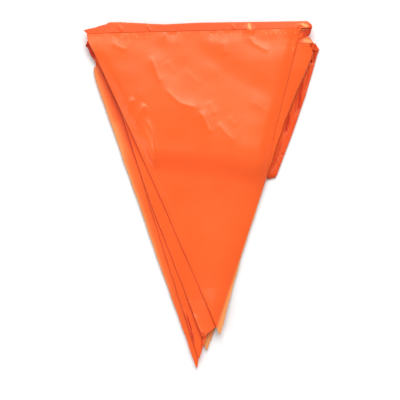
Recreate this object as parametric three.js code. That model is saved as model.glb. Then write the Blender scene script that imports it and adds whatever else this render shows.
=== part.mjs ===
// Pennant bunting in glossy orange plastic film, folded up flat as it comes out of its bag.
//
// Seven pennants hang on one heading tape. The tape zigzags from side to side, so the pennants
// lie on each other in a fanned heap, and its free end is turned down along the right-hand edges.
//
// Millimetres. X runs along the heading, Y from the tips up to the heading, Z up from the surface.
// The origin is on the flat underside, in the middle of the heap.

import * as THREE from 'three';

// Driving sizes

const FILM = 1.0; // thickness of a pennant's sheet
const TAPE = 1.1; // thickness of the heading tape, two layers of film
const TAPE_WIDTH = 6.6;
const TAIL_WIDTH = 10; // the free end has opened out of its fold
const SEAM_GAP = 0.3; // between the tape and the top edge of each pennant
const PITCH = 1.7; // rise from one layer to the next
const TIP_WIDTH = 2.4; // the points are cut blunt
const HOLD = 8; // a layer holds up what lies on it this far past its own outline
const EASE = 34; // and over this distance further the layers above sink by one pitch
const ROWS = 22; // rows of triangles from a pennant's heading to its tip
const TAPE_STEP = 14; // length of a facet along the tape
const TURN_STEPS = 5; // facets round a half turn

// Where the tape turns back, from the top layer down: alternately at the right and at the left.
// above and below are the heights Y of the tape's middle on the layer before and after the turn,
// and slant is how much further to the right its lower edge turns than its upper one.
const TURNS = [
  { x: -110.5, below: 156.5, slant: 3.5 },
  { x: 102, above: 162, below: 160, slant: 4 },
  { x: -107.8, above: 146, below: 143.5, slant: -2.5 },
  { x: 104.5, above: 147.5, below: 141.5, slant: 5 },
  { x: -100, above: 137.5, below: 125.5, slant: 0 },
  { x: 103, above: 131, below: 136.5, slant: 2 },
  { x: -99.5, above: 141.5, below: 145.5, slant: 0 },
  { x: 98.5, above: 141, slant: 0 },
];

// One row for each pennant, from the top layer down. left and right are its upper corners,
// bulge is how far its right-hand edge bows out, and swell its share of the soft creases.
const PENNANTS = [
  { left: -108, right: 95, tip: [17.5, -132.5], bulge: 4, swell: 1 },
  { left: -101, right: 93, tip: [16.5, -130], bulge: 0, swell: 0.7 },
  { left: -107.5, right: 104, tip: [7, -151], bulge: 0, swell: 0.45 },
  { left: -93.5, right: 100, tip: [-2.5, -155], bulge: 0, swell: 0.25 },
  { left: -103, right: 97.5, tip: [-4.5, -164.5], bulge: 0, swell: 0.1 },
  { left: -95.5, right: 94.5, tip: [5, -147.5], bulge: 0, swell: 0 },
  { left: -96.5, right: 99.5, tip: [8.5, -139], bulge: 0, swell: 0 },
];
const BULGE_AT = 0.49; // share of the way down the edge
const BULGE_LENGTH = 0.13;

// The third pennant's point is folded under, along a slanted line.
const FOLDED = 2;
const TIP_FOLD = { left: [0.5, -134], right: [15.5, -124] };
const FLAP_END = { left: [2.5, -115], right: [7.5, -115] };

// The slanted fold at the right end of the lowest layer, from the tape's upper edge to its lower
// one, and the free end's outer edge from there down to where it is cut off.
const SLANT = { upper: [107.5, 144], lower: [111.5, 137.5] };
const TAIL_FOOT = [72, 19.5];
const TAIL_CUT = { outer: [70.5, 16.5], inner: [62.5, 15] };
const TAIL_OPENS = 26; // distance over which the free end reaches its full width

// Soft creases, as ridges of a rounded section along straight stretches.
const CREASES = [
  { from: [-49, 139.5], to: [-36.5, 102.5], height: 1.9, width: 9 },
  { from: [-36.5, 102.5], to: [-1.5, 81.5], height: 2.1, width: 10 },
  { from: [-1.5, 81.5], to: [12, 55], height: 1.9, width: 9 },
  { from: [14, 69.5], to: [34.5, 47.5], height: 1.3, width: 9 },
  { from: [-76.5, 82.5], to: [-62, 92], height: 1.2, width: 8 },
  { from: [-53.5, 75], to: [-43, 29.5], height: 1.4, width: 9 },
  { from: [43, 141], to: [65, 126], height: 1.2, width: 9 },
  { from: [-5, -20], to: [14, -66], height: 1.1, width: 12 },
];
const CREASE_TOP = 152; // the creases fade out towards the heading
const CREASE_FADE = 24;

// Small helpers

const mix = (a, b, t) => a + (b - a) * t;
const mixPoint = (a, b, t) => [mix(a[0], b[0], t), mix(a[1], b[1], t)];
const smooth = (t) => {
  const c = Math.min(1, Math.max(0, t));
  return c * c * (3 - 2 * c);
};

function distanceToSegment([x, y], [ax, ay], [bx, by]) {
  const dx = bx - ax;
  const dy = by - ay;
  const along = ((x - ax) * dx + (y - ay) * dy) / (dx * dx + dy * dy);
  const t = Math.min(1, Math.max(0, along));
  return Math.hypot(x - ax - t * dx, y - ay - t * dy);
}

// Distance from a point to a convex outline whose corners run clockwise, and 0 inside it.
function distanceToOutline(point, outline) {
  let inside = true;
  let nearest = Infinity;
  outline.forEach((a, i) => {
    const b = outline[(i + 1) % outline.length];
    const side = (b[0] - a[0]) * (point[1] - a[1]) - (b[1] - a[1]) * (point[0] - a[0]);
    inside = inside && side <= 0;
    nearest = Math.min(nearest, distanceToSegment(point, a, b));
  });
  return inside ? 0 : nearest;
}

// Layout of the layers in plan

// The run of tape on layer k: its two ends, left one first.
function run(k) {
  const start = [TURNS[k].x, TURNS[k].below];
  const end = [TURNS[k + 1].x, TURNS[k + 1].above];
  return start[0] < end[0] ? [start, end] : [end, start];
}

function tapeMiddle(k, x) {
  const [left, right] = run(k);
  return mix(left[1], right[1], (x - left[0]) / (right[0] - left[0]));
}

function pennantCorner(k, x) {
  return [x, tapeMiddle(k, x) - TAPE_WIDTH / 2 - SEAM_GAP];
}

function layerOutline(k) {
  const [left, right] = run(k);
  const half = TAPE_WIDTH / 2;
  return [
    [left[0], left[1] + half],
    [right[0], right[1] + half],
    [right[0], right[1] - half],
    PENNANTS[k].tip,
    [left[0], left[1] - half],
  ];
}

// The free end, as the direction it runs in and its outer and inner edge at a distance along it.
const tailVector = [TAIL_FOOT[0] - SLANT.lower[0], TAIL_FOOT[1] - SLANT.lower[1]];
const tailLength = Math.hypot(...tailVector);
const tailWay = tailVector.map((c) => c / tailLength);

function tailEdges(distance) {
  const opened = smooth(distance / TAIL_OPENS);
  const width = mix(TAPE_WIDTH, TAIL_WIDTH, opened);
  const outer = SLANT.lower.map((c, i) => c + tailWay[i] * distance);
  const inner = [outer[0] + tailWay[1] * width, outer[1] - tailWay[0] * width];
  return { outer, inner };
}

const tailOutline = [
  SLANT.upper,
  SLANT.lower,
  TAIL_FOOT,
  tailEdges(tailLength).inner,
  tailEdges(TAIL_OPENS).inner,
];

const flapOutline = [FLAP_END.left, FLAP_END.right, TIP_FOLD.right, TIP_FOLD.left];

// Heights: each layer lies on all that is beneath it

// The stack from the surface up. A pennant and its run of tape make one layer.
const STACK = [
  { name: 'tail', outline: tailOutline },
  ...PENNANTS.map((pennant, k) => ({ name: k, outline: layerOutline(k) })).reverse(),
];
STACK.splice(STACK.findIndex((layer) => layer.name === FOLDED), 0, { name: 'flap', outline: flapOutline });

function creases(x, y) {
  const fade = smooth((CREASE_TOP - y) / CREASE_FADE);
  return CREASES.reduce((sum, crease) => {
    const away = distanceToSegment([x, y], crease.from, crease.to) / crease.width;
    return sum + fade * crease.height * Math.exp(-away * away);
  }, 0);
}

// Height of the underside of a layer.
function underside(name, x, y) {
  let height = 0;
  for (const layer of STACK) {
    if (layer.name === name) break;
    const away = distanceToOutline([x, y], layer.outline);
    height += PITCH * (1 - smooth((away - HOLD) / EASE));
  }
  const swell = PENNANTS[name]?.swell ?? 0;
  return height + swell * creases(x, y);
}

// Sheets: rows of places on the middle surface, each with the direction of the sheet's face

const SLOPE_STEP = 2;

function lying(name, x, y, thickness, faceDown = false) {
  const z = (px, py) => underside(name, px, py);
  const slopeX = (z(x + SLOPE_STEP, y) - z(x - SLOPE_STEP, y)) / (2 * SLOPE_STEP);
  const slopeY = (z(x, y + SLOPE_STEP) - z(x, y - SLOPE_STEP)) / (2 * SLOPE_STEP);
  const face = new THREE.Vector3(-slopeX, -slopeY, 1).normalize();
  if (faceDown) face.negate();
  return { place: new THREE.Vector3(x, y, z(x, y) + thickness / 2), face };
}

// The level direction at right angles to a row, to the left of it from its first place.
function across(row) {
  const line = row.at(-1).place.clone().sub(row[0].place);
  return new THREE.Vector3(-line.y, line.x, 0).normalize();
}

// The rows between an upper row and the one folded back beneath it, round a half circle that
// bulges outwards. Both rows have the same number of places.
function halfTurn(upper, lower, outward) {
  const rows = [];
  for (let step = 1; step < TURN_STEPS; step += 1) {
    const share = step / TURN_STEPS;
    const angle = Math.PI * share;
    rows.push(upper.map((above, i) => {
      const below = lower[i];
      const radius = (above.place.z - below.place.z) / 2;
      const middle = above.place.clone().lerp(below.place, share);
      middle.z = below.place.z + radius * (1 + Math.cos(angle));
      const face = outward.clone().multiplyScalar(Math.sin(angle) * Math.sign(above.face.z));
      face.z = Math.cos(angle) * Math.sign(above.face.z);
      return { place: middle.addScaledVector(outward, radius * Math.sin(angle)), face };
    }));
  }
  return rows;
}

// Triangles between two rows that may differ in their number of places.
function stitch(upper, lower) {
  const triangles = [];
  let i = 0;
  let j = 0;
  while (i < upper.length - 1 || j < lower.length - 1) {
    const upperNext = (i + 1) / (upper.length - 1);
    const lowerNext = (j + 1) / (lower.length - 1);
    if (i < upper.length - 1 && upperNext <= lowerNext) {
      triangles.push([upper[i], upper[i + 1], lower[j]]);
      i += 1;
    } else {
      triangles.push([upper[i], lower[j + 1], lower[j]]);
      j += 1;
    }
  }
  return triangles;
}

// A closed sheet of even thickness on rows of places.
function sheet(rows, thickness) {
  const places = rows.flat();
  const positions = [];
  for (const side of [0.5, -0.5]) {
    for (const { place, face } of places) {
      positions.push(...place.clone().addScaledVector(face, side * thickness).toArray());
    }
  }
  let next = 0;
  const numbered = rows.map((row) => row.map(() => next++));
  const front = numbered.slice(1).flatMap((row, i) => stitch(numbered[i], row));
  const back = front.map(([a, b, c]) => [a, c, b].map((index) => index + places.length));

  const edges = new Map();
  for (const triangle of front) {
    triangle.forEach((a, i) => edges.set(`${a},${triangle[(i + 1) % 3]}`, [a, triangle[(i + 1) % 3]]));
  }
  const rim = [...edges.values()]
    .filter(([a, b]) => !edges.has(`${b},${a}`))
    .flatMap(([a, b]) => [
      [b, a, a + places.length],
      [b, a + places.length, b + places.length],
    ]);

  const geometry = new THREE.BufferGeometry();
  geometry.setAttribute('position', new THREE.Float32BufferAttribute(positions, 3));
  geometry.setIndex([...front, ...back, ...rim].flat());
  geometry.computeVertexNormals();
  return geometry;
}

// Pennants

// A row of places across a pennant, from its right-hand edge to its left-hand one.
function pennantRow(k, left, right, count) {
  return Array.from({ length: count }, (_, i) => {
    const [x, y] = mixPoint(right, left, i / (count - 1));
    return lying(k, x, y, FILM);
  });
}

function pennant(k) {
  const { left, right, tip, bulge } = PENNANTS[k];
  const topLeft = pennantCorner(k, left);
  const topRight = pennantCorner(k, right);
  const folded = k === FOLDED;
  const footLeft = folded ? TIP_FOLD.left : [tip[0] - TIP_WIDTH / 2, tip[1]];
  const footRight = folded ? TIP_FOLD.right : [tip[0] + TIP_WIDTH / 2, tip[1]];
  const lastRow = folded ? ROWS - 2 : ROWS - 1;

  const rows = [];
  for (let row = 0; row <= lastRow; row += 1) {
    const down = row / lastRow;
    const bow = bulge * Math.exp(-(((down - BULGE_AT) / BULGE_LENGTH) ** 2));
    const edge = mixPoint(topRight, footRight, down);
    rows.push(pennantRow(k, mixPoint(topLeft, footLeft, down), [edge[0] + bow, edge[1]], ROWS + 1 - row));
  }
  if (folded) rows.push(...tuckedPoint(rows.at(-1)));
  return sheet(rows, FILM);
}

// The point folded under: a half turn along the fold, then a short flap that narrows.
function tuckedPoint(foldRow) {
  const flapRow = (left, right, count) => Array.from({ length: count }, (_, i) => {
    const [x, y] = mixPoint(right, left, i / (count - 1));
    return lying('flap', x, y, FILM, true);
  });
  const first = flapRow(TIP_FOLD.left, TIP_FOLD.right, foldRow.length);
  const last = flapRow(FLAP_END.left, FLAP_END.right, 2);
  return [...halfTurn(foldRow, first, across(foldRow)), first, last];
}

// Heading tape: one strip through every layer, from its free end at the top left

function tapeRow(name, upper, lower, faceDown) {
  return [upper, lower].map(([x, y]) => lying(name, x, y, TAPE, faceDown));
}

function tapeRun(k) {
  const from = TURNS[k];
  const to = TURNS[k + 1];
  const steps = Math.ceil(Math.abs(to.x - from.x) / TAPE_STEP);
  const half = TAPE_WIDTH / 2;
  return Array.from({ length: steps + 1 }, (_, i) => {
    const x = mix(from.x, to.x, i / steps);
    const slant = (i === 0 ? from.slant : 0) + (i === steps ? to.slant : 0);
    const upper = [x - slant / 2, tapeMiddle(k, x - slant / 2) + half];
    const lower = [x + slant / 2, tapeMiddle(k, x + slant / 2) - half];
    return tapeRow(k, upper, lower, to.x < from.x);
  });
}

function tail() {
  const steps = Math.ceil(tailLength / TAPE_STEP);
  const rows = [];
  for (let step = 0.5; step < steps; step += 1) {
    const { outer, inner } = tailEdges((tailLength * step) / steps);
    rows.push(tapeRow('tail', inner, outer, true));
  }
  rows.push(tapeRow('tail', TAIL_CUT.inner, TAIL_CUT.outer, true));
  return rows;
}

function headingTape() {
  const rows = [];
  PENNANTS.forEach((_, k) => {
    const layer = tapeRun(k);
    if (k > 0) {
      const outward = across(layer[0]).multiplyScalar(Math.sign(TURNS[k].x));
      rows.push(...halfTurn(rows.at(-1), layer[0], outward));
    }
    rows.push(...layer);
  });

  const slantAbove = tapeRow(PENNANTS.length - 1, SLANT.upper, SLANT.lower, false);
  const slantBelow = tapeRow('tail', SLANT.upper, SLANT.lower, true);
  const turn = halfTurn(slantAbove, slantBelow, across(slantAbove));
  rows.push(slantAbove, ...turn, slantBelow, ...tail());
  return sheet(rows, TAPE);
}

// The bunting

const filmFinish = { color: 0xff703c, roughness: 0.35, metalness: 0 };
const tapeFinish = { color: 0xff7844, roughness: 0.4, metalness: 0 };

const bunting = new THREE.Group();
bunting.name = 'bunting';

function add(name, geometry, finish) {
  const mesh = new THREE.Mesh(geometry, new THREE.MeshStandardMaterial(finish));
  mesh.name = name;
  bunting.add(mesh);
}

PENNANTS.forEach((_, k) => add(`pennant_${k + 1}`, pennant(k), filmFinish));
add('heading_tape', headingTape(), tapeFinish);

export default bunting;
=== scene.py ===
# %% [markdown]
# # A folded pack of film bunting
# Real bunting of this kind is a row of plastic film triangles hung on one long heading tape.
# For its bag it is folded zigzag, so the triangles lie on each other in a fanned heap.
# This lesson makes each triangle as a thin sheet, the tape as one folded strip that runs
# through the whole heap, and then the two finishes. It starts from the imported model, whose
# plain solids say how big everything is and where it lies.

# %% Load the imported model
import math

import bpy
import numpy as np
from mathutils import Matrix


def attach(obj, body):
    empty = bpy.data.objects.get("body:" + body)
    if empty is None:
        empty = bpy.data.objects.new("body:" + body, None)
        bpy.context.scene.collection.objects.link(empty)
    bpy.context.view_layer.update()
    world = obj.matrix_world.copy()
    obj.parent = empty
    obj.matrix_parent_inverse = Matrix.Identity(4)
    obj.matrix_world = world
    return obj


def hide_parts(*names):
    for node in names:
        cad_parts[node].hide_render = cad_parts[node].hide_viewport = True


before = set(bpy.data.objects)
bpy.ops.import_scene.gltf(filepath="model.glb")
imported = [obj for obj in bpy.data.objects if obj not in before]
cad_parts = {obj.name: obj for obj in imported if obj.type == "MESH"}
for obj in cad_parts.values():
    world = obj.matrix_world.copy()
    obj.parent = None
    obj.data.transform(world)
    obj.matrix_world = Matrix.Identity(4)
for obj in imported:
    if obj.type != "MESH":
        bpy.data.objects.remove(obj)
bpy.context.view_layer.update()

# %% [markdown]
# ## Camera
# The heap lies flat and is seen from straight above. A short lens would show the upper layers
# larger than the lower ones, so a long lens is used, far away.

# %% Camera
MM = 0.001
VIEW_WIDTH = 380.0  # millimetres across the frame
VIEW_CENTRE = (-1.4, -4.8)
CAMERA_HEIGHT = 3.0
SENSOR = 36.0
MEAN_HEIGHT = 0.012

camera_data = bpy.data.cameras.new("camera")
camera_data.sensor_width = SENSOR
camera_data.lens = SENSOR * (CAMERA_HEIGHT - MEAN_HEIGHT) / (VIEW_WIDTH * MM)
camera_data.clip_end = 20
camera = bpy.data.objects.new("camera", camera_data)
camera.location = (VIEW_CENTRE[0] * MM, VIEW_CENTRE[1] * MM, CAMERA_HEIGHT)
bpy.context.collection.objects.link(camera)
bpy.context.scene.camera = camera
print("lens:", round(camera_data.lens, 1), "mm")

# %% [markdown]
# ## Light and floor
# Film shows its creases by what it mirrors. The sky is dim, so flat film stays saturated. One
# broad lamp hangs beyond the heading: film that leans towards the heading mirrors it and turns
# pale, and film that leans the other way stays deep. A weaker lamp on the left keeps the strips
# that show beside the top pennant out of its shadow.

# %% Light and floor
def lamp(name, place, aim, size, watts):
    """A square area lamp of the given side in metres, turned from its place to its aim."""
    data = bpy.data.lights.new(name, "AREA")
    data.size = size
    data.energy = watts
    light = bpy.data.objects.new(name, data)
    light.location = place
    way = np.array(aim, float) - np.array(place, float)
    flat = math.hypot(way[0], way[1])
    light.rotation_euler = (math.atan2(flat, -way[2]), 0, math.atan2(way[1], way[0]) - math.pi / 2)
    bpy.context.collection.objects.link(light)
    return light


scene = bpy.context.scene
scene.view_settings.view_transform = "Standard"
world = bpy.data.worlds.new("sky")
world.use_nodes = True
world.node_tree.nodes["Background"].inputs["Color"].default_value = (1, 1, 1, 1)
world.node_tree.nodes["Background"].inputs["Strength"].default_value = 0.5
scene.world = world
lamp("beyond_heading", (0.1, 0.86, 1.3), (0, 0, 0), 1.1, 21)
lamp("left", (-1.1, -0.45, 0.9), (0, 0, 0), 0.8, 3)

FLOOR = 2.0  # half the side of the floor, in metres
floor_mesh = bpy.data.meshes.new("floor")
floor_mesh.from_pydata(
    [(-FLOOR, -FLOOR, -MM), (FLOOR, -FLOOR, -MM), (FLOOR, FLOOR, -MM), (-FLOOR, FLOOR, -MM)],
    [],
    [(0, 1, 2, 3)],
)
floor_paint = bpy.data.materials.new("floor")
floor_paint.use_nodes = True
floor_shader = floor_paint.node_tree.nodes["Principled BSDF"]
floor_shader.inputs["Base Color"].default_value = (0.93, 0.93, 0.925, 1)
floor_shader.inputs["Roughness"].default_value = 0.9
floor_mesh.materials.append(floor_paint)
floor = bpy.data.objects.new("floor", floor_mesh)
bpy.context.collection.objects.link(floor)

# %% [markdown]
# ## How the heap lies
# The same few named sizes that drive the solids place the film here. Each turn of the tape and
# each pennant is one row of a table, from the top layer down, in millimetres.

# %% Sizes of the heap
FILM = 1.0  # the solid sheet's thickness; the film lies in the middle of it
TAPE_WIDTH = 6.6
TAIL_WIDTH = 10.0
PITCH = 1.7  # from one layer up to the next
HOLD = 8.0  # past a layer's outline, the film above it stays up this far
HEADING_HOLD = {"more": 15.0, "from": 100.0, "over": 30.0}  # near the heading the film bridges gaps
EASE = 34.0  # and then it comes down over this distance
TURNS = [
    {"x": -110.5, "below": 156.5, "slant": 3.5},
    {"x": 102.0, "above": 162.0, "below": 160.0, "slant": 4.0},
    {"x": -107.8, "above": 146.0, "below": 143.5, "slant": -2.5},
    {"x": 104.5, "above": 147.5, "below": 141.5, "slant": 5.0},
    {"x": -100.0, "above": 137.5, "below": 125.5, "slant": 0.0},
    {"x": 103.0, "above": 131.0, "below": 136.5, "slant": 2.0},
    {"x": -99.5, "above": 141.5, "below": 145.5, "slant": 0.0},
    {"x": 98.5, "above": 141.0, "slant": 0.0},
]
PENNANTS = [
    {"left": -108.0, "right": 95.0, "tip": (17.5, -132.5), "swell": 1.0},
    {"left": -101.0, "right": 93.0, "tip": (16.5, -130.0), "swell": 0.7},
    {"left": -107.5, "right": 104.0, "tip": (7.0, -151.0), "swell": 0.45},
    {"left": -93.5, "right": 100.0, "tip": (-2.5, -155.0), "swell": 0.25},
    {"left": -103.0, "right": 97.5, "tip": (-4.5, -164.5), "swell": 0.1},
    {"left": -95.5, "right": 94.5, "tip": (5.0, -147.5), "swell": 0.0},
    {"left": -96.5, "right": 99.5, "tip": (8.5, -139.0), "swell": 0.0},
]
LAST_RUN = len(PENNANTS) - 1
FOLDED = 2  # the pennant whose point is folded under, counted from 0
TIP_FOLD = {"left": (0.5, -134.0), "right": (15.5, -124.0)}
FLAP_END = {"left": (2.5, -115.0), "right": (7.5, -115.0)}
SLANT = {"upper": (107.5, 144.0), "lower": (111.5, 137.5)}
TAIL_FOOT = (72.0, 19.5)
TAIL_CUT = {"outer": (70.5, 16.5), "inner": (62.5, 15.0)}
TAIL_OPENS = 26.0
SWELLS = [
    {"line": ((-49, 139.5), (-36.5, 102.5)), "height": 1.9, "width": 9},
    {"line": ((-36.5, 102.5), (-1.5, 81.5)), "height": 2.1, "width": 10},
    {"line": ((-1.5, 81.5), (12, 55)), "height": 1.9, "width": 9},
    {"line": ((14, 69.5), (34.5, 47.5)), "height": 1.3, "width": 9},
    {"line": ((-76.5, 82.5), (-62, 92)), "height": 1.2, "width": 8},
    {"line": ((-53.5, 75), (-43, 29.5)), "height": 1.4, "width": 9},
    {"line": ((43, 141), (65, 126)), "height": 1.2, "width": 9},
    {"line": ((-5, -20), (14, -66)), "height": 1.1, "width": 12},
]
SWELL_TOP = 152.0
SWELL_FADE = 24.0
SWELL_SHARE = 0.12  # film is pressed flatter than the solids that stand for it
print(len(PENNANTS), "pennants,", len(TURNS) - 2, "turns and a slanted fold")


# %% Distances and smooth steps
def smooth(t):
    """3t squared minus 2t cubed, with t held between 0 and 1."""
    c = np.clip(t, 0, 1)
    return c * c * (3 - 2 * c)


def mix(a, b, t):
    """a times (1 - t) plus b times t."""
    return a + (b - a) * t


def nearest_on(x, y, a, b):
    """Share of the way from a to b at the nearest point of that stretch, and the distance to it."""
    dx, dy = b[0] - a[0], b[1] - a[1]
    share = np.clip(((x - a[0]) * dx + (y - a[1]) * dy) / (dx * dx + dy * dy), 0, 1)
    return share, np.hypot(x - a[0] - share * dx, y - a[1] - share * dy)


def follow(x, y, line, fade):
    """For each stretch of a line: share along it, distance to it, and a fade at the line's ends."""
    lengths = [math.dist(a, b) for a, b in zip(line, line[1:])]
    gone = 0.0
    for a, b, length in zip(line, line[1:], lengths):
        share, away = nearest_on(x, y, a, b)
        passed = (gone + share * length) / sum(lengths)
        yield share, away, smooth(np.minimum(passed, 1 - passed) / fade)
        gone += length


STROKE_ENDS = 0.25  # share of a stroke over which it dies away at each end


def stroke(x, y, line, widths):
    """Exp of minus the squared distance over the local width, times a fade at both ends."""
    best = np.zeros(np.shape(x))
    followed = follow(x, y, line, STROKE_ENDS)
    for (share, away, ends), first, second in zip(followed, widths, widths[1:]):
        away = away / mix(first, second, share)
        best = np.maximum(best, ends * np.exp(-away * away))
    return best


def distance_to_outline(x, y, outline):
    """Distance to a convex outline with its corners clockwise; negative inside it."""
    inside = np.ones(np.shape(x), bool)
    nearest = np.full(np.shape(x), np.inf)
    for a, b in zip(outline, outline[1:] + outline[:1]):
        inside &= (b[0] - a[0]) * (y - a[1]) - (b[1] - a[1]) * (x - a[0]) <= 0
        nearest = np.minimum(nearest, nearest_on(x, y, a, b)[1])
    return np.where(inside, -nearest, nearest)


print("halfway up a smooth step:", float(smooth(0.5)))


# %% Where each layer lies in plan
def tape_middle(k, x):
    """Height Y of the tape's middle at x: a straight line between the two ends of run k."""
    start, end = TURNS[k], TURNS[k + 1]
    return mix(start["below"], end["above"], (x - start["x"]) / (end["x"] - start["x"]))


def layer_outline(k):
    """The run of tape and the pennant's tip as one outline of five corners."""
    left, right = sorted((TURNS[k]["x"], TURNS[k + 1]["x"]))
    half = TAPE_WIDTH / 2
    return [
        (left, tape_middle(k, left) + half),
        (right, tape_middle(k, right) + half),
        (right, tape_middle(k, right) - half),
        PENNANTS[k]["tip"],
        (left, tape_middle(k, left) - half),
    ]


tail_vector = np.subtract(TAIL_FOOT, SLANT["lower"])
tail_length = float(np.hypot(*tail_vector))
tail_way = tail_vector / tail_length


def tail_edges(distance, opens=TAIL_OPENS):
    """Outer and inner edge of the free end: along its line, and one width to the right of it."""
    distance = np.asarray(distance, float)[..., None]
    width = mix(TAPE_WIDTH, TAIL_WIDTH, smooth(distance / opens))
    outer = np.array(SLANT["lower"]) + tail_way * distance
    return outer, outer + np.array([tail_way[1], -tail_way[0]]) * width


tail_outline = [
    SLANT["upper"],
    SLANT["lower"],
    TAIL_FOOT,
    tuple(tail_edges(tail_length)[1]),
    tuple(tail_edges(TAIL_OPENS)[1]),
]
flap_outline = [FLAP_END["left"], FLAP_END["right"], TIP_FOLD["right"], TIP_FOLD["left"]]
STACK = [("tail", tail_outline)]
for k in reversed(range(len(PENNANTS))):
    if k == FOLDED:
        STACK.append(("flap", flap_outline))
    STACK.append((k, layer_outline(k)))
print("stack, from the surface up:", [name for name, _ in STACK])


# %% How high each layer lies
def swells(x, y):
    """Sum of rounded ridges, exp of minus the squared distance over the width."""
    total = np.zeros(np.shape(x))
    for swell in SWELLS:
        away = nearest_on(x, y, *swell["line"])[1] / swell["width"]
        total += swell["height"] * np.exp(-away * away)
    return SWELL_SHARE * total * smooth((SWELL_TOP - y) / SWELL_FADE)


def underside(name, x, y):
    """One pitch for each layer beneath, which fades out past that layer's own outline."""
    height = np.zeros(np.shape(x))
    near = smooth((y - HEADING_HOLD["from"]) / HEADING_HOLD["over"])
    hold = HOLD + HEADING_HOLD["more"] * near
    for layer, outline in STACK:
        if layer == name:
            break
        away = np.maximum(distance_to_outline(x, y, outline), 0)
        height += PITCH * (1 - smooth((away - hold) / EASE))
    share = PENNANTS[name]["swell"] if isinstance(name, int) else 0
    return height + share * swells(x, y)


def layers_beneath(name, x, y, blur=0.7):
    """How many layers lie under a place, with each layer's edge blurred a little."""
    count = np.zeros(np.shape(x))
    for layer, outline in STACK:
        if layer == name:
            break
        count += 1 - smooth((distance_to_outline(x, y, outline) + blur) / (2 * blur))
    return count


print("the top pennant lies", round(float(underside(0, 0.0, 0.0)), 1), "mm up in the middle")


# %% [markdown]
# ## A thin closed sheet
# Film is a tenth of a millimetre thick. A grid of places on its middle surface, pushed half a
# thickness to each side and closed round the rim, is a real thin body, so it shades and exports
# well. A Solidify modifier would do the same, but the grid already knows its own directions.

# %% Sheet maker
THICK = 0.2


def grid_faces(rows, columns):
    """Four-cornered faces between neighbouring rows and columns, numbered row by row."""
    number = np.arange(rows * columns).reshape(rows, columns)
    corners = (number[:-1, :-1], number[1:, :-1], number[1:, 1:], number[:-1, 1:])
    return np.stack(corners, axis=-1).reshape(-1, 4)


def rim_faces(rows, columns):
    """Faces round the border, from each border edge of the front to the same one behind."""
    number = np.arange(rows * columns).reshape(rows, columns)
    loop = np.concatenate([number[:-1, 0], number[-1, :-1], number[:0:-1, -1], number[0, :0:-1]])
    after = np.roll(loop, -1)
    layers_and_highlight = rows * columns
    return np.stack([after, loop, loop + layers_and_highlight, after + layers_and_highlight], axis=-1)


def directions(middle):
    """Unit normals of a grid: the cross product of its steps down and across."""
    down = np.gradient(middle, axis=0)
    across = np.gradient(middle, axis=1)
    normal = np.cross(down, across)
    return normal / np.maximum(np.linalg.norm(normal, axis=-1, keepdims=True), 1e-9)


def make_mesh(name, places, faces, flat_faces, plan, values):
    """A mesh in metres with a UV map from plan, in decimetres, and one attribute per value."""
    mesh = bpy.data.meshes.new(name)
    mesh.from_pydata((places * MM).tolist(), [], np.concatenate([faces, flat_faces]).tolist())
    is_smooth = np.concatenate([np.ones(len(faces), bool), np.zeros(len(flat_faces), bool)])
    mesh.polygons.foreach_set("use_smooth", is_smooth)
    corner_points = np.empty(len(mesh.loops), np.int32)
    mesh.loops.foreach_get("vertex_index", corner_points)
    layer = mesh.uv_layers.new(name="plan")
    layer.data.foreach_set("uv", (plan[corner_points] / 100).astype(np.float32).ravel())
    for title, value in values.items():
        attribute = mesh.attributes.new(title, "FLOAT", "POINT")
        attribute.data.foreach_set("value", value.astype(np.float32).ravel())
    mesh.update()
    piece = bpy.data.objects.new(name, mesh)
    bpy.context.collection.objects.link(piece)
    return piece


def thin_sheet(name, middle, plan, values):
    """Front and back half a thickness from the middle surface, joined round the rim."""
    rows, columns = middle.shape[:2]
    step = directions(middle) * THICK / 2
    places = np.concatenate([(middle + step).reshape(-1, 3), (middle - step).reshape(-1, 3)])
    front = grid_faces(rows, columns)
    faces = np.concatenate([front, front[:, ::-1] + rows * columns])
    both = {title: np.tile(value.ravel(), 2) for title, value in values.items()}
    plans = np.tile(plan.reshape(-1, 2), (2, 1))
    return make_mesh(name, places, faces, rim_faces(rows, columns), plans, both)


print("a sheet of film is", THICK, "mm thick")

# %% [markdown]
# ## Creases in the film
# A crease in film is a low ridge with a sharp crest: the slope changes at once, so a thin bright
# line runs along it. Each is a few points and a height, and it dies away at both ends.

# %% Crests
CRESTS = [
    {"points": ((-49, 133), (-44.5, 121), (-41.3, 113), (-38.5, 104.4)), "height": 0.55, "width": 2.6},
    {"points": ((-35.6, 102.5), (-28, 94), (-20.4, 87.3), (-2.4, 82.2)), "height": 0.7, "width": 2.6},
    {"points": ((-1.2, 81), (4, 69), (10, 56)), "height": 0.7, "width": 2.4},
    {"points": ((14.7, 69.3), (22, 60), (33, 49)), "height": 0.4, "width": 2.4},
    {"points": ((25, 75), (33, 65)), "height": 0.2, "width": 3.2},
    {"points": ((20.4, 147), (23.3, 132)), "height": 0.35, "width": 2.6},
    {"points": ((41.3, 155), (46, 150), (50, 144), (65, 136)), "height": 0.6, "width": 2.4},
    {"points": ((-84.1, 147.2), (-81, 141.5), (-69.8, 137.7)), "height": 0.45, "width": 2.4},
    {"points": ((-77.5, 82), (-62.2, 92.1)), "height": 0.7, "width": 2.6},
    {"points": ((-63, 75), (-52.7, 86.4)), "height": 0.7, "width": 2.6},
    {"points": ((-53.7, 75), (-47.5, 61.7), (-45.6, 46.5), (-43.2, 31.3)), "height": 0.75, "width": 2.4},
    {"points": ((-66, 59.8), (-60, 56), (-58.5, 48)), "height": 0.6, "width": 4.0},
    {"points": ((-33.7, 128), (-24.2, 115)), "height": 0.16, "width": 4.0},
    {"points": ((-18.5, 120.5), (0.5, 103.5)), "height": 0.16, "width": 4.5},
    {"points": ((6.2, 90), (13.8, 75)), "height": 0.22, "width": 3.5},
    {"points": ((45, 90), (70, 75)), "height": 0.2, "width": 5.0},
]
CREST_ENDS = 0.22  # share of a crest over which it dies away at each end
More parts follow.
